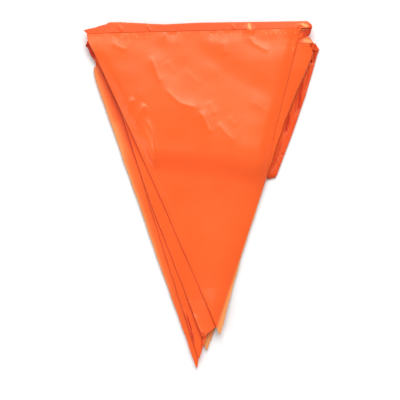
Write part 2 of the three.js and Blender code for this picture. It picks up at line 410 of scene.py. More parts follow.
CREST_ROUND = 0.2  # square millimetres, added under the root to round off the sharp top


def crests(x, y):
    """Ridges of height times exp(-distance / width), rounded over the last half millimetre."""
    total = np.zeros(np.shape(x))
    for crest in CRESTS:
        best = np.zeros(np.shape(x))
        for _, away, ends in follow(x, y, crest["points"], CREST_ENDS):
            rounded = np.sqrt(away * away + CREST_ROUND)
            best = np.maximum(best, ends * np.exp(-rounded / crest["width"]))
        total += crest["height"] * best
    return total


WAVE_COUNT = 14


def ripple(seed, x, y, shortest, longest):
    """Sum of sine waves of random direction, length and phase, scaled to a height of about 1."""
    random = np.random.default_rng(seed)
    total = np.zeros(np.shape(x))
    for _ in range(WAVE_COUNT):
        angle = random.uniform(0, math.pi)
        length = random.uniform(shortest, longest)
        phase = random.uniform(0, 2 * math.pi)
        total += np.sin((x * math.cos(angle) + y * math.sin(angle)) * 2 * math.pi / length + phase)
    return total / math.sqrt(WAVE_COUNT)


RIPPLES = {
    "edge": {"seed": 0, "height": 0.2, "lengths": (9, 60)},
    "soft": {"seed": 30, "height": 0.08, "lengths": (16, 70)},
    "curl": {"seed": 50, "height": 0.25, "lengths": (14, 60)},
    "pucker": {"seed": 70, "height": 0.13, "lengths": (5, 16)},
    "tape": {"seed": 90, "height": 0.2, "lengths": (14, 60)},
    "gather": {"seed": 97, "height": 0.1, "lengths": (9, 30)},
}


def ripples(kind, number, x, y):
    """The height of one kind of ripple times its waves, with a number added to its seed."""
    row = RIPPLES[kind]
    return row["height"] * ripple(row["seed"] + number, x, y, *row["lengths"])


print(len(CRESTS), "crests on the top pennant")

# %% [markdown]
# ## Edges of the pennants
# The film is cut as a triangle, but where it lies folded its edges bow and waver by a few
# millimetres. Each edge is a straight line from the heading to the point, and a short table
# moves it sideways at some heights Y. One function gives an edge at any height, so the next
# steps can also ask how far a place is from the edge of a layer above it.

# %% Edges
POINT_WIDTH = 1.2
WAVER_ENDS = 0.04  # share of an edge over which its waver dies away at each end
BENDS = {
    (0, "left"): {
        "y": (-132, -124, -71, 7, 81, 109, 133, 146, 153),
        "dx": (0, 0.4, 0.8, 0.9, -0.5, -1.6, -1.7, -3.4, -1),
    },
    (0, "right"): {"y": (-100, -60, -30, 0, 15, 32, 60, 100), "dx": (0, 0.4, 1.8, 3.8, 4, 3.2, 1, 0)},
    (1, "right"): {"y": (147, 149.4, 150.4, 152, 156.5), "dx": (0, 3, 9, 11.2, 11.3)},
    (2, "right"): {
        "y": (70, 86, 98, 106, 112.4, 126.4, 135.5, 139, 141),
        "dx": (0, 1.2, 2.2, 3, 4, 5, 5.2, 2.5, 0),
    },
    (2, "left"): {
        "y": (-131, -60, -7, 30, 69, 78, 98, 119, 130, 134),
        "dx": (0, 0.5, 0.8, 3, 6.1, 6.5, 6, 4.5, 0.6, -0.8),
    },
    (3, "left"): {"y": (-155, -107, -43, 60, 120), "dx": (0, -0.4, -0.9, 0, 0)},
    (4, "left"): {
        "y": (-164, -140, -100, -60, 0, 60, 95, 110, 120, 123),
        "dx": (0, 0, -0.8, -1.3, -1.5, -1.8, -2, -2.3, -0.5, 2.5),
    },
    (4, "right"): {
        "y": (-164.4, -157.8, -152, -149.2, -144.5, -132, -115),
        "dx": (0, -1.4, -3.4, -2.5, -3.1, -3, 0),
    },
}


def seam_y(k, x):
    """The line where film k comes out of the tape."""
    return tape_middle(k, x) - TAPE_WIDTH / 2


def edge_ends(k, side):
    """An edge's upper corner and its foot, at the point or at the fold."""
    corner_x = PENNANTS[k][side]
    tip_x, tip_y = PENNANTS[k]["tip"]
    foot = (tip_x + (POINT_WIDTH / 2 if side == "right" else -POINT_WIDTH / 2), tip_y)
    if k == FOLDED:
        foot = TIP_FOLD[side]
    return (corner_x, float(seam_y(k, corner_x))), foot


def edge_x(k, side, y):
    """X of an edge at height y: a straight line, moved by its table and a slight waver."""
    corner, foot = edge_ends(k, side)
    down = np.clip((corner[1] - y) / (corner[1] - foot[1]), 0, 1)
    bend = BENDS.get((k, side), {"y": (0, 1), "dx": (0, 0)})
    waver = ripples("edge", 10 * k + (side == "right"), y, 0 * y)
    waver = waver * smooth(down / WAVER_ENDS) * smooth((1 - down) / WAVER_ENDS)
    return mix(corner[0], foot[0], down) + np.interp(y, bend["y"], bend["dx"]) + waver


for k in (0, 2, 4):
    both_edges = [round(float(edge_x(k, side, np.array(0.0))), 1) for side in ("left", "right")]
    print("film", k + 1, "at y = 0:", both_edges)

# %% [markdown]
# ## Form of the film
# On top of the height of its layer each film has a form of its own. The top one is pressed into
# broad waves: a long ridge runs down from the left towards the right, and below it the film
# steps down, because the free end of the tape and its folds stop there. Loose edges sink on the
# layer beneath and curl a little, but near the heading they rest on the runs of tape. Film can't
# pass through film, so each height is lifted clear of the films below it.

# %% Waves, sinking edges and curls
RIDGE = {
    "x": (-110, -94.8, -79.3, -56.8, -41.3, -25.2, -3.3, 10, 31.8, 57.5, 75),
    "y": (118, 112.3, 104.4, 98, 93, 83.8, 77.8, 58.8, 49.3, 39.8, 35),
}
STEP_DOWN = {"x": (-60, -44, -16, 6, 32, 57, 80), "y": (32, 31.5, 30, 28.4, 25.3, 17.3, 14)}
UPPER_RIDGE = {"x": (-20, 5, 22.3, 50.8, 84, 100), "y": (158, 150.9, 137.7, 122.5, 101.6, 94)}
RIDGE_ROUND = 7.0  # millimetres over which the long ridge is rounded
RISE_SLOPE = 0.043
RISE_REACH = 80.0
RISE_TOP = 141.0  # the rise starts here, a little below the heading
RISE_ROUND = 12.0  # millimetres over which the start of the rise is rounded
STEP_HEIGHT = 2.8
STEP_OVER = 26.0
PAST_RIDGE = {"fall": 0.9, "over": 34.0}
UPPER_WAVE = {"rise": 0.5, "rise_over": 30.0, "fall": 0.9, "fall_over": 24.0, "x": -15.0, "x_over": 40.0}
WAVE_EDGE = 12.0  # the broad waves die away over this distance from both edges
TIP_LIFT = {0: {"from": -88.0, "slope": 0.08}, 2: {"from": -100.0, "slope": 0.08}}  # points curl up
RAMPS = [
    {"line": ((-57, 74), (-46, 35)), "height": 2.6, "width": 4.5},
    {"line": ((-66, 92), (-75, 76)), "height": 1.5, "width": 5.0},
    {"line": ((-54, 87), (-63, 70)), "height": 1.5, "width": 4.0},
    {"line": ((-62, 64), (-58, 50)), "height": 1.1, "width": 4.5},
    {"line": ((66, 148), (90, 118)), "height": 1.4, "width": 12.0},
]  # ridges that grow from their first end to their second
RAMP_END = 0.35  # past its second end a ramp dies away over this share of its length
SINK = {0: 2.2, 1: 1.2}  # how far the right-hand edges of the two top films sink on the third
SINK_LEFT = {0: 2.6, 1: 1.7, 2: 1.7, 3: 1.2, 4: 1.3}  # how far each left-hand edge sinks
SETTLE = {0: 3.3, 1: 2.8, 2: 2.3, 3: 1.7, 4: 1.1, 5: 0.5}  # how far all layers sink on the right
SETTLE_MORE = 2.2  # the three top films sink this much further beside the free end of the tape
SETTLE_MORE_TOP = 122.0
SINK_LENGTH = 9.0
LEFT_LENGTH = 8.5
HELD_UP = 138.0  # above this Y the left edges, and the second film's right one, rest on the tape
LET_DOWN = 14.0  # and over this distance they are let down
SEAM_BLEND = 12.0  # below the tape, a film's own form takes over in this distance
PUCKERS = {"reach": 9.0, "from": 3.0}
NARROW = 30.0  # near the points, where a film is narrower than this, its left edge sinks less
CLEAR = 0.35  # least distance between the middles of two films
CURLS = [
    {"film": 3, "side": "left", "y": (-152, -106), "height": 0.9, "width": 2.0},
    {"film": 2, "side": "left", "y": (-134, -112), "height": 0.9, "width": 2.2},
    {"film": 4, "side": "left", "y": (60, 110), "height": 0.5, "width": 2.5},
]
CURL_ENDS = 0.25
EDGE_CURL = {"mean": 0.15, "width": 2.0}  # every left edge curls this much, and waves about it
RIBS = [
    {
        "film": 3,
        "line": ((-20.8, -105), (-17.4, -113.5), (-15.2, -123)),
        "width": (0.7, 0.9, 0.7),
        "height": 0.9,
    },
    {"film": 3, "line": ((-14.6, -124), (-12.4, -136.5)), "width": (0.7, 0.7), "height": 0.8},
    {"film": 3, "line": ((-9.4, -129), (-6.4, -142)), "width": (0.7, 0.7), "height": 0.7},
    {"film": 2, "line": ((-0.2, -130.0), (3.4, -133.4)), "width": (0.7, 0.9), "height": 0.8},
]  # short narrow ribs where a loose edge has buckled


def level(curve, x):
    """Height Y of a curve at x, by straight lines between the points of its table."""
    return np.interp(x, curve["x"], curve["y"])


def broad_waves(x, y):
    """Smooth rises up to each ridge line and smooth falls beyond it, all as heights."""
    above = level(RIDGE, x) - y
    softened = (above - np.hypot(above, RIDGE_ROUND)) / 2
    reach = np.clip(RISE_TOP - level(RIDGE, x), 0, RISE_REACH)
    below_top = reach + softened
    rise = RISE_SLOPE * (below_top + np.hypot(below_top, RISE_ROUND)) / 2
    fall = -PAST_RIDGE["fall"] * smooth(above / PAST_RIDGE["over"])
    step = -STEP_HEIGHT * smooth((level(STEP_DOWN, x) - y) / STEP_OVER + 0.5)
    below_upper = level(UPPER_RIDGE, x) - y
    far_right = smooth((x - UPPER_WAVE["x"]) / UPPER_WAVE["x_over"])
    upper = UPPER_WAVE["rise"] * smooth(below_upper / UPPER_WAVE["rise_over"] + 1)
    upper = upper - UPPER_WAVE["fall"] * smooth(below_upper / UPPER_WAVE["fall_over"])
    return rise + fall + step + far_right * upper + ramps(x, y)


def ramps(x, y):
    """Each ramp's height times the share along it, over exp of minus the squared distance."""
    total = np.zeros(np.shape(x))
    for ramp in RAMPS:
        a, b = ramp["line"]
        dx, dy = b[0] - a[0], b[1] - a[1]
        share = ((x - a[0]) * dx + (y - a[1]) * dy) / (dx * dx + dy * dy)
        sideways = ((x - a[0]) * dy - (y - a[1]) * dx) / math.hypot(dx, dy) / ramp["width"]
        grown = np.clip(share, 0, 1) * (1 - smooth((share - 1) / RAMP_END))
        total += ramp["height"] * grown * np.exp(-sideways * sideways)
    return total


def edge_curls(k, x, y):
    """Lift near an edge: exp(-distance / width), between two heights Y."""
    total = np.zeros(np.shape(x))
    for curl in CURLS:
        if curl["film"] != k:
            continue
        low, high = curl["y"]
        share = (y - low) / (high - low)
        ends = smooth(share / CURL_ENDS) * smooth((1 - share) / CURL_ENDS)
        away = np.abs(x - edge_x(k, curl["side"], y))
        total += curl["height"] * ends * np.exp(-away / curl["width"])
    return total


TAPE_RIDGES = [
    {"run": 0, "line": ((94.5, 158.3), (104.0, 159.0)), "height": 0.9, "width": 2.6},
    {"run": 0, "line": ((96.0, 164.5), (101.5, 160.5)), "height": 0.5, "width": 0.9},
    {"run": 0, "line": ((94.5, 158.0), (98.5, 157.0)), "height": 0.9, "width": 3.2},
    {"run": 0, "line": ((44.0, 157.0), (47.0, 156.0)), "height": 0.9, "width": 3.2},
    {"run": 0, "line": ((29.5, 161.5), (31.5, 158)), "height": 0.2, "width": 1.0},
    {"run": 0, "line": ((-51, 160.5), (-49, 157)), "height": 0.2, "width": 1.0},
    {"run": 0, "line": ((-78, 160), (-76, 157)), "height": 0.2, "width": 1.2},
    {"run": 2, "line": ((98.0, 143.6), (108.0, 142.0)), "height": 0.8, "width": 2.6},
]


def tape_form(k, x, y):
    """Slow waves along run k of the tape, and short rounded ridges; the lowest run only rises."""
    total = ripples("tape", k, x, 0 * x)
    for ridge in TAPE_RIDGES:
        if ridge["run"] == k:
            away = nearest_on(x, y, *ridge["line"])[1] / ridge["width"]
            total = total + ridge["height"] * np.exp(-away * away)
    if k == LAST_RUN:
        total = np.maximum(total, 0)
    return total


def relief(k, x, y):
    """Fine form on film k: waves and crests on the top one, ripples, puckers and edges."""
    drop = seam_y(k, x) - y
    right = np.maximum(edge_x(k, "right", y) - x, 0)
    left = np.maximum(x - edge_x(k, "left", y), 0)
    at_outermost = np.exp(-np.maximum(edge_x(FOLDED, "right", y) - x, 0) / SINK_LENGTH)
    curl = np.exp(-left / EDGE_CURL["width"]) * (EDGE_CURL["mean"] + ripples("curl", k, y, x))
    near_seam = np.exp(-(drop / PUCKERS["reach"]) ** 2) * smooth(drop / PUCKERS["from"])
    pucker = near_seam * ripples("pucker", k, x, 0 * y)
    let_down = smooth((HELD_UP - y) / LET_DOWN)
    at_right = np.exp(-right / SINK_LENGTH) * (let_down if k == 1 else 1)
    at_left = np.exp(-left / LEFT_LENGTH) * smooth(right / NARROW) * let_down
    form = ripples("soft", k, x, y) + curl + edge_curls(k, x, y)
    form = form - SETTLE.get(k, 0) * at_outermost
    form = form - SINK.get(k, 0) * at_right - SINK_LEFT.get(k, 0) * at_left
    if k <= FOLDED:
        form = form - SETTLE_MORE * at_outermost * smooth((SETTLE_MORE_TOP - y) / LET_DOWN)
    if k in TIP_LIFT:
        form = form + TIP_LIFT[k]["slope"] * np.maximum(TIP_LIFT[k]["from"] - y, 0)
    for rib in RIBS:
        if rib["film"] == k:
            form = form + rib["height"] * stroke(x, y, rib["line"], rib["width"])
    if k == 0:
        inside = smooth(left / WAVE_EDGE) * smooth(right / WAVE_EDGE)
        form = form + crests(x, y) + broad_waves(x, y) * inside
    own = smooth(drop / SEAM_BLEND)
    return own * form + pucker + tape_form(k, x, y) * (1 - own)


def film_height(k, x, y):
    """Each film's free height, from the lowest up to film k, raised clear of those beneath it."""
    heights = {}
    for j in reversed(range(k, len(PENNANTS))):
        height = underside(j, x, y) + FILM / 2 + relief(j, x, y)
        for lower, lower_height in heights.items():
            beside = (x < edge_x(lower, "left", y) - CLEAR) | (x > edge_x(lower, "right", y) + CLEAR)
            beyond = (y < edge_ends(lower, "left")[1][1] - CLEAR) | (y > seam_y(lower, x) + CLEAR)
            height = np.where(beside | beyond, height, np.maximum(height, lower_height + CLEAR))
        heights[j] = height
    return heights[k]


centre = np.array(0.0)
print("films 1 and 2 at the centre:", [round(float(film_height(k, centre, centre)), 2) for k in (0, 1)])

# %% [markdown]
# ## Pennants
# A pennant is a triangle with a blunt point. Its rows run from the heading to the point, and its
# top edge goes up a little way into the fold of the tape.

# %% Pennant grids
TUCK = 3.0  # how far the film goes up between the two leaves of the tape
GRID = {0: (250, 180)}
GRID_BELOW = (190, 104)
BEND_ROWS = 9  # round the fold of the tucked point
FLAP_ROWS = 24
FLAP_LENGTH = 15.0


def pennant_plan(k, across, down):
    """X and Y of film k: a mix across between its two edges at the same share of the way down."""
    sides = {}
    for side in ("left", "right"):
        corner, foot = edge_ends(k, side)
        y = mix(corner[1] + TUCK, foot[1], down)
        sides[side] = (edge_x(k, side, y), y)
    x = mix(sides["left"][0], sides["right"][0], across)
    y = mix(sides["left"][1], sides["right"][1], across)
    return x, y


def pennant_middle(k):
    """Places of film k, and its plan for the UV map."""
    rows, columns = GRID.get(k, GRID_BELOW)
    down, across = np.meshgrid(np.linspace(0, 1, rows), np.linspace(0, 1, columns), indexing="ij")
    x, y = pennant_plan(k, across, down)
    return np.stack([x, y, film_height(k, x, y)], axis=-1), np.stack([x, y], axis=-1)


def tucked_point(main, plan):
    """The point folded under: a half circle round the fold line, then a flap that narrows."""
    across = np.linspace(0, 1, main.shape[1])[:, None]
    fold = main[-1]
    first = mix(np.array(TIP_FOLD["left"]), np.array(TIP_FOLD["right"]), across)
    last = mix(np.array(FLAP_END["left"]), np.array(FLAP_END["right"]), across)
    line = np.subtract(TIP_FOLD["right"], TIP_FOLD["left"])
    outward = np.array([line[1], -line[0]]) / np.hypot(*line)
    lower_z = underside("flap", first[:, 0], first[:, 1]) + FILM / 2
    radius = (fold[:, 2] - lower_z) / 2
    rows, plans = [], []
    for angle in np.linspace(0, math.pi, BEND_ROWS)[1:]:
        flat = fold[:, :2] + outward * (radius * math.sin(angle))[:, None]
        rows.append(np.column_stack([flat, lower_z + radius * (1 + math.cos(angle))]))
        plans.append(fold[:, :2] + outward * (radius * angle)[:, None])
    for share in np.linspace(0, 1, FLAP_ROWS)[1:]:
        flat = mix(first, last, share)
        z = underside("flap", flat[:, 0], flat[:, 1]) + FILM / 2
        rows.append(np.column_stack([flat, z]))
        plans.append(plans[BEND_ROWS - 2] + outward * share * FLAP_LENGTH)
    return np.concatenate([main, np.stack(rows)]), np.concatenate([plan, np.stack(plans)])


# %% [markdown]
# ## What lies behind the film
# The colour of film depends on how much film is behind it. Each point of a sheet therefore keeps
# two numbers for its material: how many layers lie behind it, and how much painted shade, a deep
# red, it carries where shadow falls beside edges, in slits, along the step down and in corners.

# %% What lies behind the film and beside it
FULL_COVER = 3.0  # with this many layers behind it, film is as deep orange as it gets
FAR_BELOW = 100.0  # millimetres below the tape, for what has no row of marks
HEM = 2.5  # near the heading the film is backed by its folds, as if by this many layers
HEM_REACH = {"from": 60.0, "over": 40.0}
EXTRA = {1: 2.0, 2: 2.0, 3: 2.0, 4: 2.6}  # the left strips lie on film that bunches up there
OUTERMOST = 4  # below the heading, this film's left edge lies outside all the others
PALE_EDGE = {"low": 3.0, "high": 7.0, "from": 20.0, "over": 50.0}  # wider high up on the left
PALE_FEWER = 2.2  # layers fewer at the outermost edge
PALE_FADE = {"from": -170.0, "over": 150.0}
SHADE = {0: 0.4, 2: 0.6, 3: 0.4}  # depth of the painted shade, a red shadow line left of each film's left edge
SHADE_LENGTH = {"low": 1.0, "high": 5.5, "from": 20.0, "over": 50.0}
SLITS = [
    {
        "film": 3,
        "line": ((-19.2, -107), (-14.8, -120), (-11.2, -135)),
        "width": (0.6, 1.2, 0.9),
        "painted_shade": 0.9,
    },
    {
        "film": 3,
        "line": ((-15.0, -110), (-10.2, -127), (-6.8, -145)),
        "width": (0.5, 0.9, 0.9),
        "painted_shade": 1.0,
    },
    {
        "film": 2,
        "line": ((-0.8, -128.5), (1.6, -131.5), (2.6, -134)),
        "width": (0.5, 0.8, 0.5),
        "painted_shade": 0.8,
    },
]  # painted shade in the gaps beside the ribs, where the film turns deep red
BAND = {"painted_shade": 0.14, "width": 11.0, "x": -62.0, "x_over": 26.0}  # painted shade along the step down, where the film leans away from the lamp
CORNERS = {
    1: {"painted_shade": 0.75, "way": 1, "x": 95.0, "x_over": 2.0, "y": 148.5, "y_over": 2.0},
    FOLDED: {"painted_shade": 1.0, "way": -1, "x": -99.0, "x_over": 3.0, "y": 126.0, "y_over": 6.0},
}  # painted shade in tight corners that show: right of x for way 1 or left of it for way -1, and above y


def reach_at(table, y):
    """A width that grows from its low to its high value on the way up."""
    return mix(table["low"], table["high"], smooth((y - table["from"]) / table["over"]))


def backing_of(k, x, y):
    """Layers beneath a place, a few more near the heading, and fewer along the outermost edge."""
    near = smooth((y - seam_y(k, x) + HEM_REACH["from"]) / HEM_REACH["over"])
    count = layers_beneath(k, x, y) + HEM * near + EXTRA.get(k, 0)
    if k == OUTERMOST:
        away = np.maximum(x - edge_x(k, "left", y), 0) / reach_at(PALE_EDGE, y)
        fade = smooth((y - PALE_FADE["from"]) / PALE_FADE["over"])
        count = np.minimum(count, FULL_COVER) - PALE_FEWER * np.exp(-away) * fade
    return count


def painted_shade_of(k, x, y):
    """Painted shade, as a deep red: beside left edges above, in slits, along the step and in corners."""
    painted_shade = np.zeros(np.shape(x))
    for above, depth in SHADE.items():
        if above < k:
            away = np.abs(edge_x(above, "left", y) - x) / reach_at(SHADE_LENGTH, y)
            painted_shade = np.maximum(painted_shade, depth * np.exp(-away * away))
    for slit in SLITS:
        if slit["film"] == k:
            painted_shade = np.maximum(painted_shade, slit["painted_shade"] * stroke(x, y, slit["line"], slit["width"]))
    if k == 0:
        away = (y - level(STEP_DOWN, x)) / BAND["width"]
        fade = smooth((x - BAND["x"]) / BAND["x_over"])
        painted_shade = painted_shade + BAND["painted_shade"] * np.exp(-away * away) * fade
    if k in CORNERS:
        corner = CORNERS[k]
        outside = smooth(corner["way"] * (x - corner["x"]) / corner["x_over"])
        outside = outside * smooth((y - corner["y"]) / corner["y_over"])
        painted_shade = np.maximum(painted_shade, corner["painted_shade"] * outside)
    return painted_shade


films = []
for k in range(len(PENNANTS)):
    middle, plan = pennant_middle(k)
    if k == FOLDED:
        middle, plan = tucked_point(middle, plan)
    x, y = middle[..., 0], middle[..., 1]
    values = {"backing_and_highlight": backing_of(k, x, y), "painted_shade": painted_shade_of(k, x, y), "below_seam": seam_y(k, x) - y}
    film = thin_sheet(f"film_{k + 1}", middle, plan, values)
    films.append(film)
    print(film.name, len(film.data.polygons), "faces")

# %% [markdown]
# ## Heading tape
# The tape is a strip of film folded in half along its middle, with the pennants' tops between
# its two leaves. Its section is a narrow U, carried along one path that runs through every layer,
# turns back at each end, and leaves the heap down the right-hand side.

# %% Path of the tape
STEP = {0: 0.7, "tail": 0.7}
STEP_BELOW = 2.2
TURN_ROWS = 9
LEAN_LENGTH = 14.0
SLOPE_STEP = 2.0  # the slope under the tape is measured over this distance to each side
SLANT_ROWS = 8
UPPER_EDGE = {
    "x": (
        *(-112, -107.8, -104, -100, -98.3, -94.5, -90.7, -88.8),
        *(-86.9, -77.4, -58.4, -41, -34.7, -2, 50, 93),
    ),
    "y": (-3.2, -1.9, -1.4, -0.6, 0.2, 1.2, 1.9, 3.4, 3.8, 3.6, 2.2, 0.8, 0.5, 1.2, 0.6, 0),
}  # where the first run of tape is opened out a little, or squeezed
END_BULGE = 1.6  # how far the middle of the tape's right-hand end stands out
TAIL_SPREADS = 12.0


def rails(name, upper, lower, facing):
    """Both edges of a stretch at the height of its layer, with the normal of the surface."""
    places = []
    for edge in (upper, lower):
        z = underside(name, edge[:, 0], edge[:, 1]) + FILM / 2
        places.append(np.column_stack([edge, z]))
    middle = (upper + lower) / 2
    slope = []
    for dx, dy in ((SLOPE_STEP, 0), (0, SLOPE_STEP)):
        ahead = underside(name, middle[:, 0] + dx, middle[:, 1] + dy)
        back = underside(name, middle[:, 0] - dx, middle[:, 1] - dy)
        slope.append((ahead - back) / (2 * SLOPE_STEP))
    normal = np.column_stack([-slope[0], -slope[1], np.ones(len(upper))])
    normal /= np.linalg.norm(normal, axis=1, keepdims=True)
    return places[0], places[1], normal * facing


def run_edges(k):
    """Both edges of run k, where the slant of each turn is spread over the last stretch."""
    start, end = TURNS[k], TURNS[k + 1]
    count = int(abs(end["x"] - start["x"]) / STEP.get(k, STEP_BELOW)) + 1
    x = np.linspace(start["x"], end["x"], count)
    lean = start["slant"] * smooth(1 - abs(x - start["x"]) / LEAN_LENGTH)
    lean = lean + end["slant"] * smooth(1 - abs(x - end["x"]) / LEAN_LENGTH)
    edges = []
    for side in (1, -1):
        rail_x = x - side * lean / 2
        rail_y = tape_middle(k, rail_x) + side * TAPE_WIDTH / 2
        if k == 0 and side == 1:
            rail_y = rail_y + level(UPPER_EDGE, rail_x)
        edges.append(np.column_stack([rail_x, rail_y]))
    return edges


def half_turn(above, below):
    """Rows round a half circle from one stretch to the next, bulging across the fold."""
    line = above[1][-1] - above[0][-1]
    outward = np.array([-line[1], line[0], 0.0])
    outward *= np.sign(above[0][-1][0]) / np.hypot(*line[:2])
    rows = []
    for share in np.linspace(0, 1, TURN_ROWS + 1)[1:-1]:
        angle = math.pi * share
        row = []
        for side in (0, 1):
            high, low = above[side][-1], below[side][0]
            radius = (high[2] - low[2]) / 2
            place = mix(high, low, share)
            place[2] = low[2] + radius * (1 + math.cos(angle))
            row.append(place + outward * radius * math.sin(angle))
        facing = np.sign(above[2][-1][2])
        normal = outward * math.sin(angle) * facing + np.array([0, 0, math.cos(angle) * facing])
        rows.append((row[0], row[1], normal))
    return tuple(np.array([r[i] for r in rows]) for i in range(3))


stretches = []
for k in range(len(PENNANTS)):
    upper, lower = run_edges(k)
    stretches.append(rails(k, upper, lower, 1 if k % 2 == 0 else -1))
to_slant = np.linspace(0, 1, SLANT_ROWS)[1:, None]
last_upper, last_lower = (rail[-1][:2] for rail in stretches[-1][:2])
slant_upper = mix(last_upper, np.array(SLANT["upper"]), to_slant)
slant_lower = mix(last_lower, np.array(SLANT["lower"]), to_slant)
slanted = rails(LAST_RUN, slant_upper, slant_lower, 1)
stretches[-1] = tuple(np.concatenate(pair) for pair in zip(stretches[-1], slanted))
TAIL_BOW = {"x": (0, 20, 45, 80, 124), "y": (0, 1.0, 1.9, 1.6, 0)}
tail_distance = np.linspace(0, tail_length, int(tail_length / STEP["tail"]))
tail_outer, tail_inner = tail_edges(tail_distance, TAIL_SPREADS)
tail_outer = tail_outer + level(TAIL_BOW, tail_distance)[:, None] * np.array([-tail_way[1], tail_way[0]])
settle = smooth(tail_distance / TAIL_OPENS)[:, None]
tail_inner = mix(np.array(SLANT["upper"]) + (tail_outer - tail_outer[0]), tail_inner, settle)
tail_outer = np.concatenate([tail_outer, [TAIL_CUT["outer"]]])
tail_inner = np.concatenate([tail_inner, [TAIL_CUT["inner"]]])
stretches.append(rails("tail", tail_inner, tail_outer, -1))

parts = [stretches[0]]
marks = [np.zeros(len(stretches[0][0]))]
for number, (above, below) in enumerate(zip(stretches, stretches[1:]), start=1):
    turn = half_turn(above, below)
    parts += [turn, below]
    marks += [np.full(len(turn[0]), number - 0.5), np.full(len(below[0]), float(number))]
rail_upper, rail_lower, rail_normal = (np.concatenate([p[i] for p in parts]) for i in range(3))
stretch_number = np.concatenate(marks)
steps_along = np.linalg.norm(np.diff((rail_upper + rail_lower) / 2, axis=0), axis=1)
tape_along = np.concatenate([[0], np.cumsum(steps_along)])
print("tape:", round(tape_along[-1] / 1000, 3), "m in", len(tape_along), "rows")

# %% Section of the tape
LEAF = 0.16  # thickness of one leaf
OPEN = 0.34  # half the distance between the leaves
LEAF_POINTS = 14
BEND_POINTS = 7
FOLD_SHARE = 0.06  # share of the tape's width that its folded edge takes up


def tape_section():
    """A closed U: out along one leaf, round the fold in a half circle, back along the other."""
    across = np.linspace(1, FOLD_SHARE, LEAF_POINTS)
    bend = np.linspace(math.pi / 2, -math.pi / 2, BEND_POINTS)[1:-1]
    points = []
    for way in (1, -1):
        radius = OPEN + way * LEAF / 2
        top = [(a, radius) for a in across]
        fold = [(FOLD_SHARE - radius / TAPE_WIDTH * math.cos(t), radius * math.sin(t)) for t in bend]
        bottom = [(a, -radius) for a in across[::-1]]
        points += (top + fold + bottom)[::way]
    return np.array(points)


section = tape_section()
around = len(section)
share, lift = section[:, 0][None, :, None], section[:, 1][None, :, None]
rows = len(tape_along)
surface = mix(rail_upper[:, None, :], rail_lower[:, None, :], share) + rail_normal[:, None, :] * lift
print("tape:", rows, "rows of", around, "points")

# %% [markdown]
# ## Form of the tape
# Each run of tape rises and falls a little, with its film. The free end was pulled out of the
# heap, so it is gathered into long flutes. Their hollows lie in shade, which is painted: the same
# strokes lower the strip and paint a deep red into it.

# %% Waves, flutes and the bulged end
FLUTES = [
    {
        "line": ((98.2, 112.4), (94.0, 95.9), (93.1, 84.5), (90.2, 74.0)),
        "width": (0.5, 1.5, 1.2, 0.5),
        "painted_shade": 1.0,
    },
    {"line": ((91.0, 97.8), (90.3, 84.5), (88.4, 73.0)), "width": (0.3, 0.7, 0.4), "painted_shade": 0.6},
    {"line": ((84.8, 79.0), (82.0, 67.5), (79.3, 56.0)), "width": (0.4, 1.6, 1.0), "painted_shade": 1.0},
    {"line": ((78.0, 54.0), (72.5, 37.0), (66.0, 20.0)), "width": (1.2, 1.6, 1.4), "painted_shade": 0.45},
    {
        "line": ((104.4, 140.8), (108.0, 135.0), (107.8, 129.1), (106.9, 123.4)),
        "width": (0.5, 1.1, 1.1, 0.5),
        "painted_shade": 1.0,
    },
    {"line": ((110.2, 138.0), (110.6, 133.0), (109.0, 127.0)), "width": (1.0, 1.4, 0.6), "painted_shade": 0.5},
    {"line": ((104.3, 130.5), (104.6, 127.5), (104.4, 124.5)), "width": (0.5, 1.3, 0.6), "painted_shade": 1.0},
    {"line": ((103.6, 119.0), (100.0, 106.0), (97.5, 96.0)), "width": (0.4, 0.7, 0.4), "painted_shade": 0.6},
    {"line": ((77.6, 39.5), (76.0, 37.5)), "width": (0.6, 0.6), "painted_shade": 0.9},
]
FLUTE_DEPTH = 0.55
TAIL_LIFT = 0.8
# painted shade over the whole free end
TAIL_PAINTED_SHADE = 0.06
GATHERS = {"across": 3.0, "along": 0.25}  # narrow across the strip and long along it
BULGE = {"x": 94.0, "x_over": 8.0, "before": 0.75}  # on the top run, up to this stretch number
PAINTED_HIGHLIGHTS = [
    {"line": ((94.5, 164.5), (97.0, 161.5), (100.5, 159.0)), "width": (1.2, 1.6, 1.0), "painted_highlight": 1.0},
    {"line": ((101.0, 164.5), (104.5, 161.5)), "width": (1.0, 1.2), "painted_highlight": 0.8},
    {"line": ((93.5, 159.5), (97.5, 155.5)), "width": (1.0, 1.0), "painted_highlight": 0.7},
    {"line": ((45.0, 165.0), (45.6, 160.5), (46.4, 154.5)), "width": (1.3, 1.6, 1.0), "painted_highlight": 0.9},
    {"line": ((94.0, 147.5), (102.0, 147.0), (110.0, 144.0)), "width": (2.2, 3.0, 1.6), "painted_highlight": 0.6},
    {"line": ((107.0, 140.0), (106.3, 133.0), (105.8, 125.0)), "width": (0.5, 0.6, 0.5), "painted_highlight": 0.4},
    {"line": ((109.4, 133.0), (107.6, 123.0)), "width": (0.5, 0.5), "painted_highlight": 0.4},
    {"line": ((82.5, 68.0), (75.0, 42.0), (68.5, 18.0)), "width": (1.2, 2.2, 2.6), "painted_highlight": 0.25},
]  # painted highlights: pale patches where the tape's folds would catch the lamp


place_x, place_y = surface[..., 0], surface[..., 1]
for k in range(len(PENNANTS)):
    weight = np.clip(1 - np.abs(stretch_number - k), 0, 1)[:, None]
    surface[..., 2] += weight * tape_form(k, place_x, place_y)
on_tail = np.clip(stretch_number - LAST_RUN, 0, 1)[:, None]
past_turn = smooth(2 * on_tail - 1)
flutes = np.zeros((rows, around))
